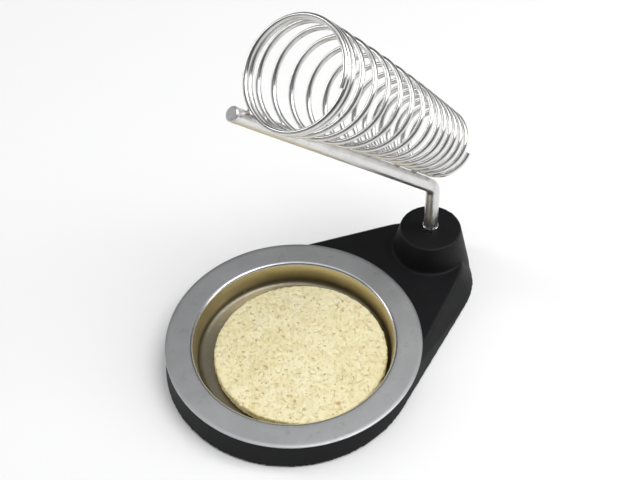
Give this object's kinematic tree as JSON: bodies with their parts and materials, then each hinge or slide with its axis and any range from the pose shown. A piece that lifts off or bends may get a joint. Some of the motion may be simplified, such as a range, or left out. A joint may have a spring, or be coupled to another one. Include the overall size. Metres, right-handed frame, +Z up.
{
  "type": "soldering iron station",
  "caption": "Bench stand for a soldering iron: a heavy teardrop base with a drop-in sponge tray and a conical wire coil holder on a bent rod that swivels in a boss.",
  "frame": {"origin": "on the surface it stands on, under the middle of the base", "axes": "+Z up, +Y along the base from the sponge tray to the boss that carries the rod, +X across the base"},
  "size_m": [0.09, 0.128, 0.1382],
  "materials": {
    "black_enamel": "satin black enamel on a casting",
    "pressed_steel": "pressed sheet with a fine satin grain",
    "cellulose": "dry compressed cellulose sponge with small pores",
    "bright_rod": "bright plated round bar",
    "spring_wire": "bright polished wire",
    "bush_steel": "bright turned steel",
    "zinc_plate": "zinc plated fasteners",
    "black_rubber": "matt moulded rubber"
  },
  "bodies": {
    "base": {"base_casting": "black_enamel", "rubber_foot_1": "black_rubber", "rubber_foot_2": "black_rubber", "rubber_foot_3": "black_rubber", "rubber_foot_4": "black_rubber", "boss_bush": "bush_steel"},
    "holder": {"support_rod": "bright_rod", "coil_holder": "spring_wire", "thrust_washer": "zinc_plate", "spring_washer": "zinc_plate", "lock_nut": "zinc_plate"},
    "tray": {"sponge_tray": "pressed_steel"},
    "sponge": {"cleaning_sponge": "cellulose"}
  },
  "joints": [
    {"name": "holder_swivel", "type": "hinge", "parent": "base", "child": "holder", "pos_m": [0, 0.0483, 0.03], "axis": [0, 0, 1], "continuous": true},
    {"name": "tray_lift", "type": "slide", "parent": "base", "child": "tray", "axis": [0, 0, 1], "range_m": [0, 0.025]},
    {"name": "sponge_lift", "type": "slide", "parent": "tray", "child": "sponge", "axis": [0, 0, 1], "range_m": [0, 0.02]}
  ]
}
